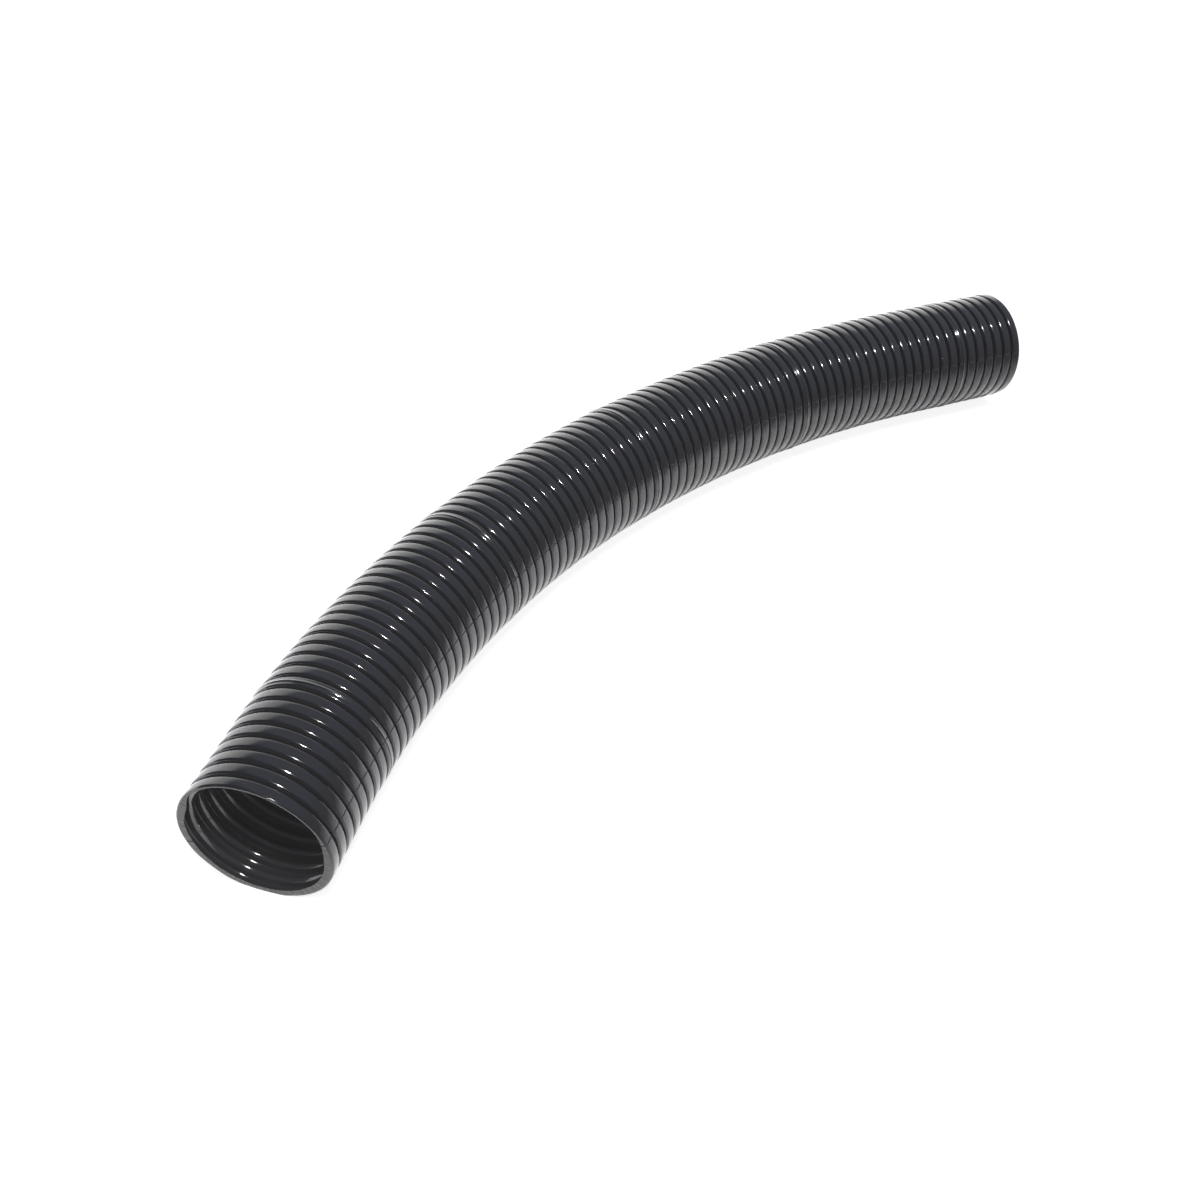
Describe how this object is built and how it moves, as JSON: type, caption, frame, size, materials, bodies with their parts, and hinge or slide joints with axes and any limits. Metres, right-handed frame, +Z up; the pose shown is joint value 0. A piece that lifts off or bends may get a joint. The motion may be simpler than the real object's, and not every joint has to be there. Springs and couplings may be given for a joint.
{
  "type": "vacuum hose",
  "caption": "Glossy black ribbed vacuum hose for a pool or spa, cut square at both ends and lying in a gentle curve, that flexes sideways at its necks and middle.",
  "frame": {"origin": "centre of the near mouth, on the tube's axis in the plane of its cut end", "axes": "+X is the way the hose sets off from the near mouth and its longest extent, +Z is up, and the hose curves towards -Y; the floor it lies on is 21.5 mm below the origin"},
  "size_m": [0.3493, 0.2151, 0.0435],
  "materials": {
    "hose_plastic": "glossy black moulded polyethylene, one tube with ring ribs"
  },
  "bodies": {
    "near_end": {"near_mouth": "hose_plastic", "near_neck": "hose_plastic"},
    "near_half": {"near_run": "hose_plastic", "middle_bend": "hose_plastic"},
    "far_half": {"far_run": "hose_plastic"},
    "far_end": {"far_neck": "hose_plastic", "far_mouth": "hose_plastic"}
  },
  "joints": [
    {"name": "near_neck_bend", "type": "hinge", "parent": "near_end", "child": "near_half", "pos_m": [0.04094, -0.00049, 0], "axis": [0, 0, -1], "range_deg": [-15, 15], "stiffness_Nm_per_rad": 0.3, "deforming": ["near_neck"]},
    {"name": "middle_bend_turn", "type": "hinge", "parent": "near_half", "child": "far_half", "pos_m": [0.19003, -0.04482, 0], "axis": [0, 0, -1], "range_deg": [-30, 30], "stiffness_Nm_per_rad": 0.2, "deforming": ["middle_bend"]},
    {"name": "far_neck_bend", "type": "hinge", "parent": "far_half", "child": "far_end", "pos_m": [0.30716, -0.1478, 0], "axis": [0, 0, -1], "range_deg": [-15, 15], "stiffness_Nm_per_rad": 0.3, "deforming": ["far_neck"]}
  ]
}
